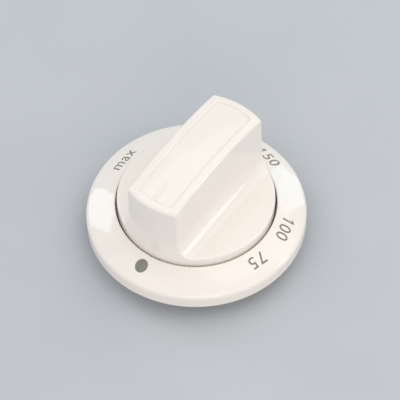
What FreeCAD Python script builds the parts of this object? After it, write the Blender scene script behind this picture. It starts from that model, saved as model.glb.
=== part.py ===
import FreeCAD, Part
import math
import os

# Oven control knob that turns inside a printed dial ring.
# The axis of the spindle is Z, the end of the rear boss is at Z = 0, and the pointer is towards -Y.

# Dial ring, millimetres and degrees
RING_R = 30.0
RIM_Z = 4.4
RIM_ROUND = 0.6
RIM_SIDE = 2.7
SHOULDER_R = 1.6
SHOULDER_TURN = 33.0
LIP_Z = 12.4
LIP_ROUND = 0.25
RING_WALL = 1.8
FLOOR_WALL = 1.6
FLOOR_RISE = 0.8
BOSS_R = 9.6
BOSS_EDGE = 0.4
BOSS_TOP_Z = 9.0
PEG_R = 1.6
PEG_PITCH_R = 17.0
PEG_END_Z = 1.0
RING_RIBS = 12
FIRST_RIB_TURN = 15.0
RIB_WALL = 1.2

# Knob
DRUM_R = 21.5
DRAFT = 0.5
LOBE_Z = 14.8
CORNER_Z = 33.0
CROWN = 2.2
END_ROUND = 1.0
INNER_ROUND = 0.3
EDGE_ROUND = 0.6
GRIP_HALF = 7.9
GRIP_DRAFT = 1.2
SCOOP_ROUND = 3.8
KNOB_WALL = 1.9

# Panel and pointer rib on top of the grip
PANEL_HALF = 5.5
PANEL_MARGIN = 2.5
PANEL_DEEP = 0.4
PANEL_CORNER = 0.7
PANEL_EDGE = 0.25
POINTER_W = 0.6
POINTER_LONG = 6.4
POINTER_LOW = 0.05
POINTER_EDGE = 0.12

# Hub and spindle bore
SPINDLE_R = 3.0
SPINDLE_FLAT = 1.6
BORE_PLAY = 0.05
PILOT_PLAY = 0.3
HUB_R = 6.5
HUB_Z = 0.6
HUB_TOP_Z = 23.0
SHOULDER_HUB_R = 8.6
PILOT_LONG = 7.0
BORE_LONG = 20.0
BORE_EDGE = 0.4
CATCH_R = 7.3
CATCH_LONG = 2.0
CATCH_LEAD = 0.8
SLIT_W = 1.4
SLIT_LONG = 6.0
HUB_RIB_TURN = 40.0
GRIP_RIB_Y = 13.0

# Leaf spring in the bore
LEAF_W = 4.0
LEAF_T = 0.5
LEAF_LONG = 11.0
LEAF_BOW = 0.45
LEAF_BITE = 0.05
LEAF_SIDE_PLAY = 0.15
LEAF_END_PLAY = 0.2
LEAF_LEAD = 1.0

# Clearances
RING_GAP = 0.5
FLOOR_GAP = 0.4
BEARING_PLAY = 0.06
CATCH_GAP = 0.6
CATCH_END_GAP = 0.4
SHOULDER_GAP = 0.3

# How far a cutting shape runs past a face, and how near two measures count as equal
CUT_PAST = 1.0
NEAR = 0.01

# Levels and radii that follow from the sizes above
WELL_R = DRUM_R + RING_GAP
FLOOR_Z = RIM_Z + FLOOR_RISE
FLOOR_TOP_Z = FLOOR_Z + FLOOR_WALL
DRUM_Z = FLOOR_TOP_Z + FLOOR_GAP
BEARING_R = HUB_R + BEARING_PLAY
CATCH_TOP_Z = HUB_Z + CATCH_LONG
STEP_Z = CATCH_TOP_Z + CATCH_END_GAP
COUNTERBORE_R = CATCH_R + CATCH_GAP
SHOULDER_HUB_Z = BOSS_TOP_Z + SHOULDER_GAP
BORE_R = SPINDLE_R + BORE_PLAY
PILOT_R = SPINDLE_R + PILOT_PLAY
TOP_Z = CORNER_Z + CROWN
PANEL_R = DRUM_R - PANEL_MARGIN
LEAF_BACK = SPINDLE_R - LEAF_BITE + LEAF_BOW + LEAF_T
LEAF_Z = HUB_Z + PILOT_LONG + LEAF_LEAD
DRUM_TAPER = math.tan(math.radians(DRAFT))
GRIP_TAPER = math.tan(math.radians(GRIP_DRAFT))


def at(r, z):
    # Point of a section drawn in the XZ plane
    return FreeCAD.Vector(r, 0, z)


def line(a, b):
    return Part.makeLine(a, b)


def arc(a, mid, b):
    return Part.Arc(a, mid, b).toShape()


def on_circle(centre, radius, degrees):
    t = math.radians(degrees)
    return at(centre.x + radius * math.cos(t), centre.z + radius * math.sin(t))


def bend(centre, radius, start, end):
    # Arc about a centre in the XZ plane, from one angle to another
    middle = (start + end) / 2
    return arc(
        on_circle(centre, radius, start),
        on_circle(centre, radius, middle),
        on_circle(centre, radius, end),
    )


def chain(points):
    return [line(a, b) for a, b in zip(points, points[1:])]


def turned(edges):
    face = Part.Face(Part.Wire(edges))
    return face.revolve(FreeCAD.Vector(0, 0, 0), FreeCAD.Vector(0, 0, 1), 360)


def box(x, y, z):
    # Box from three pairs of limits
    solid = Part.makeBox(x[1] - x[0], y[1] - y[0], z[1] - z[0])
    solid.translate(FreeCAD.Vector(x[0], y[0], z[0]))
    return solid


def tube(radius, z0, z1):
    return Part.makeCylinder(radius, z1 - z0, FreeCAD.Vector(0, 0, z0))


def around(solid, count, first=0.0):
    copies = []
    for n in range(count):
        copy = solid.copy()
        copy.rotate(FreeCAD.Vector(0, 0, 0), FreeCAD.Vector(0, 0, 1), first + 360.0 * n / count)
        copies.append(copy)
    return copies


def ring_arcs():
    # Centres of the shoulder, lip and dome, where the dome runs smoothly into the other two.
    # The dome's radius is negative where the ring's top is hollow instead of crowned.
    turn = math.radians(SHOULDER_TURN)
    normal = at(math.sin(turn), math.cos(turn))
    shoulder = at(RING_R - SHOULDER_R, RIM_Z + RIM_ROUND + RIM_SIDE)
    lip = at(WELL_R + LIP_ROUND, LIP_Z - LIP_ROUND)
    start = shoulder + normal * (SHOULDER_R - LIP_ROUND)
    across = start - lip
    reach = across.dot(across) / (2 * across.dot(normal))
    dome = start - normal * reach
    return shoulder, lip, dome, reach + LIP_ROUND


def ring_section():
    # Half section of the ring, from the inside of the rim over the dome to the boss and back
    shoulder, lip, dome, dome_r = ring_arcs()
    rim = at(RING_R - RIM_ROUND, RIM_Z + RIM_ROUND)
    over = 90 - SHOULDER_TURN
    lip_way = (lip - dome) / (dome_r - LIP_ROUND)
    lip_end = math.degrees(math.atan2(lip_way.z, lip_way.x))
    under_r = dome_r - RING_WALL
    rim_in = RING_R - RING_WALL
    wall_out = WELL_R + RING_WALL
    under_out = math.degrees(math.acos((rim_in - dome.x) / under_r))
    under_in = math.degrees(math.acos((wall_out - dome.x) / under_r))
    edges = [
        line(at(rim_in, RIM_Z), at(rim.x, RIM_Z)),
        bend(rim, RIM_ROUND, -90, 0),
        line(at(RING_R, rim.z), at(RING_R, shoulder.z)),
        bend(shoulder, SHOULDER_R, 0, over),
        bend(dome, dome_r, over, lip_end),
        bend(lip, LIP_ROUND, lip_end, 180),
    ]
    edges += chain([
        at(WELL_R, lip.z),
        at(WELL_R, FLOOR_TOP_Z),
        at(BOSS_R, FLOOR_TOP_Z),
        at(BOSS_R, BOSS_TOP_Z),
        at(BEARING_R, BOSS_TOP_Z),
        at(BEARING_R, STEP_Z),
        at(COUNTERBORE_R, STEP_Z),
        at(COUNTERBORE_R, 0),
        at(BOSS_R - BOSS_EDGE, 0),
        at(BOSS_R, BOSS_EDGE),
        at(BOSS_R, FLOOR_Z),
        at(wall_out, FLOOR_Z),
        on_circle(dome, under_r, under_in),
    ])
    edges.append(bend(dome, under_r, under_in, under_out))
    edges.append(line(on_circle(dome, under_r, under_out), at(rim_in, RIM_Z)))
    return edges


def ring_rib():
    # Stiffening rib under the dome, between the well wall and the rim
    shoulder, lip, dome, dome_r = ring_arcs()
    middle_r = dome_r - RING_WALL / 2
    inner = WELL_R + RING_WALL / 2
    outer = RING_R - RING_WALL / 2
    rise_in = dome.z + middle_r * math.sin(math.acos((inner - dome.x) / middle_r))
    rise_out = dome.z + middle_r * math.sin(math.acos((outer - dome.x) / middle_r))
    corners = [
        at(inner, FLOOR_Z),
        at(outer, FLOOR_Z),
        at(outer, rise_out),
        at(inner, rise_in),
        at(inner, FLOOR_Z),
    ]
    rib = Part.Face(Part.Wire(chain(corners))).extrude(FreeCAD.Vector(0, RIB_WALL, 0))
    rib.translate(FreeCAD.Vector(0, -RIB_WALL / 2, 0))
    return rib


def ring_peg():
    # Peg that enters the panel and keeps the ring from turning
    middle = FLOOR_Z + FLOOR_WALL / 2
    peg = Part.makeCylinder(PEG_R, middle - PEG_END_Z, FreeCAD.Vector(PEG_PITCH_R, 0, PEG_END_Z))
    tip = [e for e in peg.Edges if e.BoundBox.ZMax < PEG_END_Z + NEAR]
    return peg.makeChamfer(BOSS_EDGE, tip)


def make_dial_ring():
    ring = turned(ring_section())
    ribs = around(ring_rib(), RING_RIBS, FIRST_RIB_TURN)
    pegs = around(ring_peg(), 2)
    return ring.fuse(ribs + pegs).removeSplitter()


def drum_radius(z):
    return DRUM_R - (z - LIP_Z) * DRUM_TAPER


def at_level(edge, z):
    return abs(edge.BoundBox.ZMin - z) + abs(edge.BoundBox.ZMax - z) < NEAR


def drum_solid(inset, base):
    # Drafted drum with a crowned top and a rounded top edge, drawn in by the inset
    corner_r = drum_radius(CORNER_Z)
    radius = (corner_r ** 2 + CROWN ** 2) / (2 * CROWN) - inset
    centre_z = TOP_Z - inset - radius
    foot_r = drum_radius(base) - inset
    edge_r = corner_r - inset
    edge_z = centre_z + math.sqrt(radius ** 2 - edge_r ** 2)
    lean = math.degrees(math.acos(edge_r / radius))
    centre = at(0, centre_z)
    edges = [
        line(at(0, base), at(foot_r, base)),
        line(at(foot_r, base), at(edge_r, edge_z)),
        bend(centre, radius, lean, 90),
        line(at(0, TOP_Z - inset), at(0, base)),
    ]
    solid = turned(edges)
    rim = [e for e in solid.Edges if at_level(e, edge_z)]
    solid = solid.makeFillet(max(END_ROUND - inset, INNER_ROUND), rim)
    solid.rotate(FreeCAD.Vector(0, 0, 0), FreeCAD.Vector(0, 0, 1), 90)
    return solid


def scoop(spread):
    # Finger scoop beside the grip, grown towards the grip and downwards by the spread
    floor = LOBE_Z - spread
    wall = GRIP_HALF + (CORNER_Z - LOBE_Z) * GRIP_TAPER - spread
    top = TOP_Z + CROWN
    lean = wall - (top - floor) * GRIP_TAPER
    away = RING_R + spread
    corners = [at(wall, floor), at(away, floor), at(away, top), at(lean, top), at(wall, floor)]
    far = FreeCAD.Vector(0, 2 * RING_R, 0)
    solid = Part.Face(Part.Wire(chain(corners))).extrude(far)
    solid.translate(FreeCAD.Vector(0, -RING_R, 0))
    long = [e for e in solid.Edges if e.BoundBox.YLength > RING_R]
    inside = [e for e in long if abs(e.BoundBox.XMax - wall) < NEAR]
    return solid.makeFillet(SCOOP_ROUND + spread, inside)


def touches(shape, point):
    return shape.distToShape(Part.Vertex(point))[0] < NEAR


def shared_edges(solid, first, second):
    # Edges of a solid that lie on the skins of two other solids
    found = []
    for edge in solid.Edges:
        middle = edge.valueAt((edge.FirstParameter + edge.LastParameter) / 2)
        if touches(first.Shells[0], middle) and touches(second.Shells[0], middle):
            found.append(edge)
    return found


def knob_outside():
    # Drum with both scoops cut, and the edge that runs round each scoop rounded
    drum = drum_solid(0.0, DRUM_Z)
    scoops = around(scoop(0.0), 2)
    solid = drum.cut(scoops)
    edges = shared_edges(solid, drum, scoops[0]) + shared_edges(solid, drum, scoops[1])
    return solid.makeFillet(EDGE_ROUND, edges)


def panel_prism():
    height = (CORNER_Z - CROWN, TOP_Z + CROWN)
    sides = box((-PANEL_HALF, PANEL_HALF), (-RING_R, RING_R), height)
    prism = tube(PANEL_R, *height).common(sides)
    upright = [e for e in prism.Edges if e.BoundBox.ZLength > CROWN]
    return prism.makeFillet(PANEL_CORNER, upright)


def with_panel(knob):
    # Shallow panel in the top of the grip, with a floor that follows the crown and a rounded edge
    prism = panel_prism()
    solid = knob.cut(prism.cut(drum_solid(PANEL_DEEP, DRUM_Z)))
    edges = shared_edges(solid, drum_solid(0.0, DRUM_Z), prism)
    return solid.makeFillet(PANEL_EDGE, edges)


def pointer_rib():
    # Raised line at the pointing end of the panel, just under the crown
    half = POINTER_W / 2
    along = (-PANEL_R - half, POINTER_LONG - PANEL_R)
    crown = drum_solid(POINTER_LOW, DRUM_Z)
    line_box = box((-half, half), along, (CORNER_Z - CROWN, TOP_Z))
    rib = line_box.common(crown)
    edges = shared_edges(rib, crown, line_box)
    return rib.makeFillet(POINTER_EDGE, edges)


def hub_core():
    # Spindle hub with its shoulder, and the catch that keeps it in the ring
    hub = tube(HUB_R, HUB_Z, HUB_TOP_Z)
    shoulder = tube(SHOULDER_HUB_R, SHOULDER_HUB_Z, LOBE_Z - KNOB_WALL / 2)
    lead = Part.makeCone(CATCH_R - CATCH_LEAD, CATCH_R, CATCH_LEAD, FreeCAD.Vector(0, 0, HUB_Z))
    catch = tube(CATCH_R, HUB_Z + CATCH_LEAD, CATCH_TOP_Z)
    return [hub, shoulder, lead, catch]


def inner_ribs():
    # Ribs under the two lobes, and cross ribs in the hollow of the grip
    half = RIB_WALL / 2
    reach = drum_radius(LOBE_Z) - KNOB_WALL / 2
    under = (SHOULDER_HUB_Z, LOBE_Z - KNOB_WALL / 2)
    arm = box((0, reach), (-half, half), under)
    width = (half - GRIP_HALF, GRIP_HALF - half)
    cross = box(width, (GRIP_RIB_Y - half, GRIP_RIB_Y + half), (under[0], CORNER_Z))
    return around(arm, 2, HUB_RIB_TURN) + around(arm, 2, -HUB_RIB_TURN) + around(cross, 2)


def spindle_bore():
    # Round pilot at the mouth, D-section above it, and the pocket of the leaf spring
    pilot = tube(PILOT_R, HUB_Z - CUT_PAST, HUB_Z + PILOT_LONG)
    flat = SPINDLE_FLAT + BORE_PLAY
    deep = (HUB_Z, HUB_Z + BORE_LONG)
    keyed = tube(BORE_R, *deep).common(box((-HUB_R, HUB_R), (-HUB_R, flat), deep))
    mouth = Part.makeCone(PILOT_R + BORE_EDGE, PILOT_R, BORE_EDGE, FreeCAD.Vector(0, 0, HUB_Z))
    across = (-CATCH_R - CUT_PAST, CATCH_R + CUT_PAST)
    slit = box(across, (-SLIT_W / 2, SLIT_W / 2), (HUB_Z - CUT_PAST, HUB_Z + SLIT_LONG))
    side = LEAF_W / 2 + LEAF_SIDE_PLAY
    ends = (LEAF_Z - LEAF_END_PLAY, LEAF_Z + LEAF_LONG + LEAF_END_PLAY)
    pocket = box((-side, side), (-LEAF_BACK, 0), ends)
    return [pilot, keyed, mouth, slit, pocket]


def make_knob_body():
    hollow = drum_solid(KNOB_WALL, DRUM_Z - CUT_PAST).cut(around(scoop(KNOB_WALL), 2))
    shell = with_panel(knob_outside()).cut(hollow)
    filled = shell.fuse([pointer_rib()] + hub_core() + inner_ribs())
    return filled.cut(spindle_bore()).removeSplitter()


def leaf_point(y, z):
    return FreeCAD.Vector(-LEAF_W / 2, y, z)


def make_shaft_spring():
    # Bowed leaf whose two ends lie against the back of its pocket
    top = LEAF_Z + LEAF_LONG
    middle = LEAF_Z + LEAF_LONG / 2
    back = -LEAF_BACK
    front = back + LEAF_T
    edges = [
        arc(leaf_point(back, LEAF_Z), leaf_point(back + LEAF_BOW, middle), leaf_point(back, top)),
        line(leaf_point(back, top), leaf_point(front, top)),
        arc(leaf_point(front, top), leaf_point(front + LEAF_BOW, middle), leaf_point(front, LEAF_Z)),
        line(leaf_point(front, LEAF_Z), leaf_point(back, LEAF_Z)),
    ]
    return Part.Face(Part.Wire(edges)).extrude(FreeCAD.Vector(LEAF_W, 0, 0))


os.makedirs("parts", exist_ok=True)
for name, make in (
    ("dial_ring", make_dial_ring),
    ("knob_body", make_knob_body),
    ("shaft_spring", make_shaft_spring),
):
    shape = make()
    shape.exportStep("parts/" + name + ".step")
    print(name, shape.isValid(), len(shape.Solids), round(shape.Volume, 1))
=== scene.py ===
import math

import bmesh
import bpy
from mathutils import Matrix, Vector


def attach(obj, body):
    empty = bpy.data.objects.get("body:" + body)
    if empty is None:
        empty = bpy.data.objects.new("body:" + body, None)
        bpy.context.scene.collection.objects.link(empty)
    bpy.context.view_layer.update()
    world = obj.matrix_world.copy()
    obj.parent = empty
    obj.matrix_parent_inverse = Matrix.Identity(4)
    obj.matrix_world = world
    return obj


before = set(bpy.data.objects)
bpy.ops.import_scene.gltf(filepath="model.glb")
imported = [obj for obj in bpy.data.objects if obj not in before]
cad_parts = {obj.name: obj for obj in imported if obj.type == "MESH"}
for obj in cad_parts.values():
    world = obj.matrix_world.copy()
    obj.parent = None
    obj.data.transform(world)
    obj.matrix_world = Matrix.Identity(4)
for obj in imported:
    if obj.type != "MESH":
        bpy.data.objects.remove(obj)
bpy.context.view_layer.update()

# View of the photograph: the camera looks down at the knob, from the right of its off dot
VIEW_RISE = math.radians(52.53)
VIEW_TURN = math.radians(36.4)
VIEW_ROLL = math.radians(1.27)
VIEW_REACH = 1.2
CLIP_START = 0.01
CLIP_END = 20.0
PIXELS = 400
PIXELS_PER_METRE = 3687.0
SENSOR = 36.0

# A point on the knob's axis, and the column and row of the picture that it falls on
AXIS_POINT = Vector((0.0, 0.0, 0.012))
AXIS_COLUMN = 195.67
AXIS_ROW = 201.66

# Print on the ring: words, plan angle in degrees, radius in metres, letter spacing, lean in degrees
LABELS = (
    ("75", -14.0, 0.02529, 1.20, 0.0),
    ("100", 15.5, 0.02550, 1.08, 0.0),
    ("150", 74.5, 0.02550, 1.08, 0.0),
    ("200", 126.5, 0.02550, 1.08, 0.0),
    ("max", 177.3, 0.02478, 1.12, 2.5),
)
DOT_TURN = -90.0
DOT_RADIUS = 0.02537
DOT_SIZE = 0.00352
DOT_SIDES = 64

# Letters: cap heights in metres, widths against the font's own, and values in the font's own units
FIGURE_CAP = 0.00306
FIGURE_STRETCH = 1.11
WORD_CAP = 0.0032
WORD_STRETCH = 1.0
FONT_CAP = 0.69
FONT_CURVE_STEPS = 8
FONT_MERGE = 0.0001
STROKE_GAIN = 0.004

# Flag of the figure one, in cap heights
FLAG_OUT = 0.19
FLAG_DROP = 0.20
FLAG_THICK = 0.16

# Layer of ink: its thickness, how much of it lies below the ring's skin, and the length of its faces
INK_THICK = 0.00004
INK_SINK = 0.00002
INK_STEP = 0.0004
ABOVE_RING = Vector((0.0, 0.0, 0.05))
DOWN = Vector((0.0, 0.0, -1.0))

# Colours: both ends of each material's mottle
WHITE = ((0.86, 0.802, 0.738), (0.88, 0.826, 0.766))
INK = ((0.20, 0.197, 0.158), (0.23, 0.227, 0.182))
STEEL = ((0.42, 0.42, 0.43), (0.62, 0.62, 0.63))
FLOOR = ((0.49, 0.51, 0.54), (0.51, 0.53, 0.56))
SKY = (0.98, 0.985, 1.0, 1.0)
SKY_STRENGTH = 0.6

# Where a mottle's first colour ends, the second one starting as far from the other end
MOTTLE_END = 0.3
INK_MOTTLE_END = 0.35

# Roughness: both ends where it varies
WHITE_ROUGH = (0.04, 0.09)
INK_ROUGH = (0.30, 0.42)
STEEL_ROUGH = (0.22, 0.38)
FLOOR_ROUGH = 0.7

# Grain of the materials: features per metre, and detail
WHITE_CLOUDS = (60.0, 4.0)
WHITE_SMEARS = (240.0, 3.0)
WHITE_RIPPLE = (900.0, 2.0)
INK_PATCHES = (700.0, 4.0)
FLOOR_MOTTLE = (30.0, 4.0)
STEEL_MARKS = (6000.0, 6000.0, 200.0)
STEEL_DETAIL = 3.0
RIPPLE_STRENGTH = 0.015
RIPPLE_DEEP = 0.0001
PLASTIC_IOR = 1.55

FLOOR_HALF = 3.0

# Lamps: name, direction from the knob, distance, width, height, power in watts, tint, shape
LAMPS = (
    ("main_softbox", (0.10, 0.40, 0.88), 0.9, 1.0, 1.0, 2.3, (1.0, 0.94, 0.88), "RECTANGLE"),
    ("front_softbox", (0.45, -0.75, 0.45), 0.9, 0.8, 0.6, 2.0, (1.0, 0.965, 0.94), "RECTANGLE"),
    ("left_softbox", (-0.36, -0.62, 0.66), 0.9, 0.7, 0.7, 0.9, (1.0, 0.97, 0.95), "RECTANGLE"),
    ("right_softbox", (0.80, -0.25, 0.50), 0.9, 0.8, 0.8, 1.0, (1.0, 0.96, 0.93), "RECTANGLE"),
    ("left_window", (-0.889, 0.054, 0.454), 0.6, 0.22, 0.32, 0.56, (0.74, 0.91, 1.0), "RECTANGLE"),
    ("right_window", (0.064, 0.918, 0.391), 0.6, 0.23, 0.32, 0.44, (0.52, 0.82, 1.0), "RECTANGLE"),
    ("right_strip", (0.830, 0.423, 0.363), 0.3, 0.05, 0.22, 0.085, (1.0, 0.98, 0.95), "ELLIPSE"),
)

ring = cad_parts["dial_ring"]
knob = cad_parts["knob_body"]
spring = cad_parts["shaft_spring"]


def set_socket(node, **values):
    for name, value in values.items():
        node.inputs[name.replace("_", " ")].default_value = value


def new_material(name):
    material = bpy.data.materials.new(name)
    material.use_nodes = True
    tree = material.node_tree
    return material, tree, tree.nodes["Principled BSDF"]


def object_noise(tree, scale, detail):
    place = tree.nodes.new("ShaderNodeTexCoord")
    noise = tree.nodes.new("ShaderNodeTexNoise")
    set_socket(noise, Scale=scale, Detail=detail)
    tree.links.new(place.outputs["Object"], noise.inputs["Vector"])
    return noise.outputs["Fac"]


def mottle(tree, shader, source, colours, end):
    # Base colour that runs from one colour to the other over the middle of the source's range
    shades = tree.nodes.new("ShaderNodeValToRGB")
    stops = shades.color_ramp.elements
    for stop, position, colour in zip(stops, (end, 1.0 - end), colours):
        stop.position = position
        stop.color = (*colour, 1.0)
    tree.links.new(source, shades.inputs["Fac"])
    tree.links.new(shades.outputs["Color"], shader.inputs["Base Color"])


def uneven_gloss(tree, shader, source, rough):
    spread = tree.nodes.new("ShaderNodeMapRange")
    set_socket(spread, To_Min=rough[0], To_Max=rough[1])
    tree.links.new(source, spread.inputs["Value"])
    tree.links.new(spread.outputs["Result"], shader.inputs["Roughness"])


def white_moulding(name):
    # Glossy warm-white moulding with faint clouding, uneven gloss and a slight ripple
    material, tree, shader = new_material(name)
    mottle(tree, shader, object_noise(tree, *WHITE_CLOUDS), WHITE, MOTTLE_END)
    uneven_gloss(tree, shader, object_noise(tree, *WHITE_SMEARS), WHITE_ROUGH)
    bump = tree.nodes.new("ShaderNodeBump")
    set_socket(bump, Strength=RIPPLE_STRENGTH, Distance=RIPPLE_DEEP)
    tree.links.new(object_noise(tree, *WHITE_RIPPLE), bump.inputs["Height"])
    tree.links.new(bump.outputs["Normal"], shader.inputs["Normal"])
    set_socket(shader, IOR=PLASTIC_IOR)
    return material


def olive_ink():
    # Grey-olive pad print, a little uneven in depth
    material, tree, shader = new_material("olive_ink")
    patches = object_noise(tree, *INK_PATCHES)
    mottle(tree, shader, patches, INK, INK_MOTTLE_END)
    uneven_gloss(tree, shader, patches, INK_ROUGH)
    return material


def drawn_steel():
    # Bright spring steel with fine lengthwise drawing marks
    material, tree, shader = new_material("drawn_steel")
    place = tree.nodes.new("ShaderNodeTexCoord")
    stretch = tree.nodes.new("ShaderNodeMapping")
    set_socket(stretch, Scale=STEEL_MARKS)
    tree.links.new(place.outputs["Object"], stretch.inputs["Vector"])
    marks = tree.nodes.new("ShaderNodeTexNoise")
    set_socket(marks, Scale=1.0, Detail=STEEL_DETAIL)
    tree.links.new(stretch.outputs["Vector"], marks.inputs["Vector"])
    mottle(tree, shader, marks.outputs["Fac"], STEEL, MOTTLE_END)
    uneven_gloss(tree, shader, marks.outputs["Fac"], STEEL_ROUGH)
    set_socket(shader, Metallic=1.0)
    return material


def dress(node, material):
    node.data.materials.clear()
    node.data.materials.append(material)


def new_piece(name, bm, material):
    mesh = bpy.data.meshes.new(name)
    bm.to_mesh(mesh)
    bm.free()
    mesh.materials.append(material)
    piece = bpy.data.objects.new(name, mesh)
    bpy.context.scene.collection.objects.link(piece)
    return piece


def flag_first_one(bm, cap):
    # The built-in figure one is a plain bar, so it is drawn again with the flag of the printed one
    start = min(bm.verts, key=lambda v: v.co.x)
    bar = [start]
    for v in bar:
        bar.extend(e.other_vert(v) for e in v.link_edges if e.other_vert(v) not in bar)
    left = start.co.x
    right = max(v.co.x for v in bar)
    foot = min(v.co.y for v in bar)
    top = max(v.co.y for v in bar)
    tip = left - FLAG_OUT * cap
    fall = top - FLAG_DROP * cap
    thick = FLAG_THICK * cap
    bmesh.ops.delete(bm, geom=bar, context="VERTS")
    flag = ((left, top), (tip, fall), (tip, fall - thick), (left, top - thick))
    corners = flag + ((left, foot), (right, foot), (right, top))
    bm.faces.new([bm.verts.new((x, y, 0.0)) for x, y in corners])


def flat_words(words, spacing, lean):
    # Flat outline of a word or number, centred, at the size of its kind
    word = words.isalpha()
    cap = WORD_CAP if word else FIGURE_CAP
    stretch = WORD_STRETCH if word else FIGURE_STRETCH
    letters = bpy.data.curves.new("letters", "FONT")
    letters.body = words
    letters.resolution_u = FONT_CURVE_STEPS
    letters.offset = STROKE_GAIN
    letters.space_character = spacing
    holder = bpy.data.objects.new("letters", letters)
    bpy.context.scene.collection.objects.link(holder)
    bpy.context.view_layer.update()
    mesh = bpy.data.meshes.new_from_object(holder)
    bpy.data.objects.remove(holder)
    bm = bmesh.new()
    bm.from_mesh(mesh)
    bpy.data.meshes.remove(mesh)
    bmesh.ops.remove_doubles(bm, verts=bm.verts, dist=FONT_MERGE)
    bmesh.ops.scale(bm, verts=bm.verts, vec=Vector((stretch * cap, cap, 1.0)) / FONT_CAP)
    if words.startswith("1"):
        flag_first_one(bm, cap)
    xs = [v.co.x for v in bm.verts]
    ys = [v.co.y for v in bm.verts]
    middle = Vector(((min(xs) + max(xs)) / 2, (min(ys) + max(ys)) / 2, 0.0))
    bmesh.ops.translate(bm, verts=bm.verts, vec=-middle)
    slant = Matrix.Rotation(math.radians(lean), 3, "Z")
    bmesh.ops.rotate(bm, verts=bm.verts, cent=(0.0, 0.0, 0.0), matrix=slant)
    return bm


def flat_dot():
    bm = bmesh.new()
    bmesh.ops.create_circle(bm, cap_ends=True, radius=DOT_SIZE / 2, segments=DOT_SIDES)
    return bm


def cut_in_strips(bm):
    # Short faces both ways, so that the print can follow the dome
    for side in (0, 1):
        across = Vector((0.0, 0.0, 0.0))
        across[side] = 1.0
        low = min(v.co[side] for v in bm.verts)
        high = max(v.co[side] for v in bm.verts)
        for n in range(1, int((high - low) / INK_STEP) + 1):
            every = bm.verts[:] + bm.edges[:] + bm.faces[:]
            cut = across * (low + n * INK_STEP)
            bmesh.ops.bisect_plane(bm, geom=every, plane_co=cut, plane_no=across)


def printed(name, bm, degrees, radius):
    # Lays a flat mark on the ring, with its top outwards, as a thin layer of ink
    cut_in_strips(bm)
    under = set(bm.verts)
    bmesh.ops.extrude_face_region(bm, geom=bm.faces[:])
    turn = math.radians(degrees)
    out = Vector((math.cos(turn), math.sin(turn), 0.0))
    along = Vector((math.sin(turn), -math.cos(turn), 0.0))
    for v in bm.verts:
        plan = out * (radius + v.co.y) + along * v.co.x
        _, spot, normal, _ = ring.ray_cast(plan + ABOVE_RING, DOWN)
        lift = -INK_SINK if v in under else INK_THICK - INK_SINK
        v.co = spot + normal * lift
    bmesh.ops.recalc_face_normals(bm, faces=bm.faces)
    piece = new_piece(name, bm, ink)
    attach(piece, "ring")


def add_camera():
    rise, turn = VIEW_RISE, VIEW_TURN
    level = math.cos(rise)
    back = Vector((math.sin(turn) * level, -math.cos(turn) * level, math.sin(rise)))
    right = Vector((math.cos(turn), math.sin(turn), 0.0))
    up = back.cross(right)
    across = right * math.cos(VIEW_ROLL) - up * math.sin(VIEW_ROLL)
    upright = right * math.sin(VIEW_ROLL) + up * math.cos(VIEW_ROLL)
    centre = (PIXELS - 1) / 2
    aim = AXIS_POINT + across * (centre - AXIS_COLUMN) / PIXELS_PER_METRE
    aim += upright * (AXIS_ROW - centre) / PIXELS_PER_METRE
    data = bpy.data.cameras.new("camera")
    data.sensor_width = SENSOR
    data.lens = PIXELS_PER_METRE * VIEW_REACH * SENSOR / PIXELS
    data.clip_start = CLIP_START
    data.clip_end = CLIP_END
    camera = bpy.data.objects.new("camera", data)
    camera.location = aim + back * VIEW_REACH
    camera.rotation_euler = Matrix((across, upright, back)).transposed().to_euler()
    bpy.context.scene.collection.objects.link(camera)
    bpy.context.scene.camera = camera


def add_floor():
    bm = bmesh.new()
    bmesh.ops.create_grid(bm, x_segments=2, y_segments=2, size=FLOOR_HALF)
    material, tree, shader = new_material("pale_floor")
    mottle(tree, shader, object_noise(tree, *FLOOR_MOTTLE), FLOOR, MOTTLE_END)
    set_socket(shader, Roughness=FLOOR_ROUGH)
    floor = new_piece("floor", bm, material)


def add_world():
    world = bpy.data.worlds.new("studio")
    world.use_nodes = True
    set_socket(world.node_tree.nodes["Background"], Color=SKY, Strength=SKY_STRENGTH)
    bpy.context.scene.world = world


def add_lamp(name, direction, distance, width, height, power, tint, shape):
    # Flat lamp that faces the knob from a direction
    data = bpy.data.lights.new(name, "AREA")
    data.shape = shape
    data.size = width
    data.size_y = height
    data.energy = power
    data.color = tint
    lamp = bpy.data.objects.new(name, data)
    away = Vector(direction).normalized()
    lamp.location = AXIS_POINT + away * distance
    lamp.rotation_euler = away.to_track_quat("Z", "Y").to_euler()
    bpy.context.scene.collection.objects.link(lamp)


dress(ring, white_moulding("ring_white_gloss"))
dress(knob, white_moulding("knob_white_gloss"))
ink = olive_ink()
dress(spring, drawn_steel())

for words, degrees, radius, spacing, lean in LABELS:
    printed("print_" + words, flat_words(words, spacing, lean), degrees, radius)
printed("print_off_dot", flat_dot(), DOT_TURN, DOT_RADIUS)

add_camera()
add_floor()
add_world()
for lamp in LAMPS:
    add_lamp(*lamp)

bpy.context.scene.view_settings.view_transform = "Standard"
